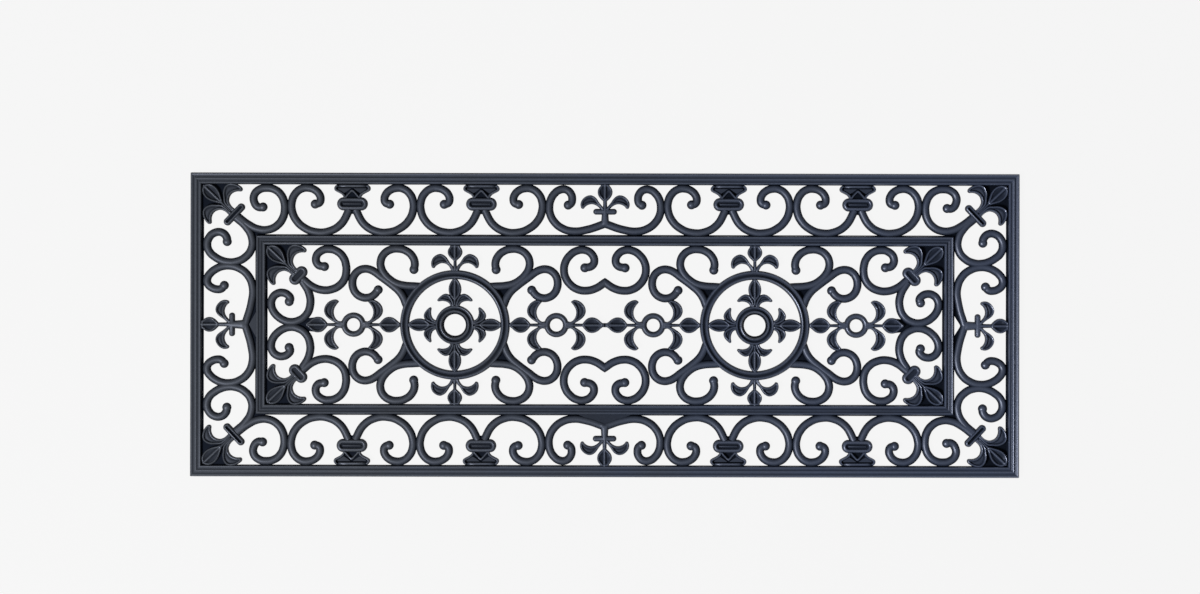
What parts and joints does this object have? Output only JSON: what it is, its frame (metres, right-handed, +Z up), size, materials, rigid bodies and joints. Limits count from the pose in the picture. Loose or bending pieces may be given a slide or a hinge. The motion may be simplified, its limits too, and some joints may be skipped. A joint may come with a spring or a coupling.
{
  "type": "rubber door mat",
  "caption": "Long rectangular black rubber door mat, an openwork of scrolls, leaves, medallions and rosettes between two ridged rails.",
  "frame": {"origin": "on the floor, under the middle of the mat's rectangle", "axes": "+X along the mat's length, +Y across it towards the edge that is at the top of the picture, +Z up"},
  "size_m": [1.2, 0.44, 0.01],
  "materials": {
    "rubber": "matt moulded black rubber with a slight blue cast"
  },
  "bodies": {
    "root": {"outer_rail_top": "rubber", "outer_rail_right": "rubber", "outer_rail_bottom": "rubber", "outer_rail_left": "rubber", "inner_rail_top": "rubber", "inner_rail_right": "rubber", "inner_rail_bottom": "rubber", "inner_rail_left": "rubber", "centre_fleur_top": "rubber", "centre_fleur_bottom": "rubber", "heart_scrolls_top": "rubber", "heart_scrolls_bottom": "rubber", "clasp_top_left_1": "rubber", "clasp_top_left_2": "rubber", "clasp_top_right_1": "rubber", "clasp_top_right_2": "rubber", "clasp_bottom_left_1": "rubber", "clasp_bottom_left_2": "rubber", "clasp_bottom_right_1": "rubber", "clasp_bottom_right_2": "rubber", "corner_palmette_top_left": "rubber", "corner_palmette_top_right": "rubber", "corner_palmette_bottom_left": "rubber", "corner_palmette_bottom_right": "rubber", "corner_scrolls_top_left": "rubber", "corner_scrolls_top_right": "rubber", "corner_scrolls_bottom_left": "rubber", "corner_scrolls_bottom_right": "rubber", "field_palmette_top_left": "rubber", "field_palmette_top_right": "rubber", "field_palmette_bottom_left": "rubber", "field_palmette_bottom_right": "rubber", "field_scrolls_top_left": "rubber", "field_scrolls_top_right": "rubber", "field_scrolls_bottom_left": "rubber", "field_scrolls_bottom_right": "rubber", "side_fleur_left": "rubber", "side_fleur_right": "rubber", "medallion_ring_left": "rubber", "medallion_ring_right": "rubber", "medallion_hub_left": "rubber", "medallion_hub_right": "rubber", "rosette_outer_left": "rubber", "rosette_outer_right": "rubber", "rosette_inner_left": "rubber", "rosette_inner_right": "rubber", "crown_fleur_top_left": "rubber", "crown_fleur_top_right": "rubber", "crown_fleur_bottom_left": "rubber", "crown_fleur_bottom_right": "rubber", "medallion_scrolls_top_left_outer": "rubber", "medallion_scrolls_top_left_inner": "rubber", "medallion_scrolls_top_right_outer": "rubber", "medallion_scrolls_top_right_inner": "rubber", "medallion_scrolls_bottom_left_outer": "rubber", "medallion_scrolls_bottom_left_inner": "rubber", "medallion_scrolls_bottom_right_outer": "rubber", "medallion_scrolls_bottom_right_inner": "rubber"}
  },
  "joints": []
}
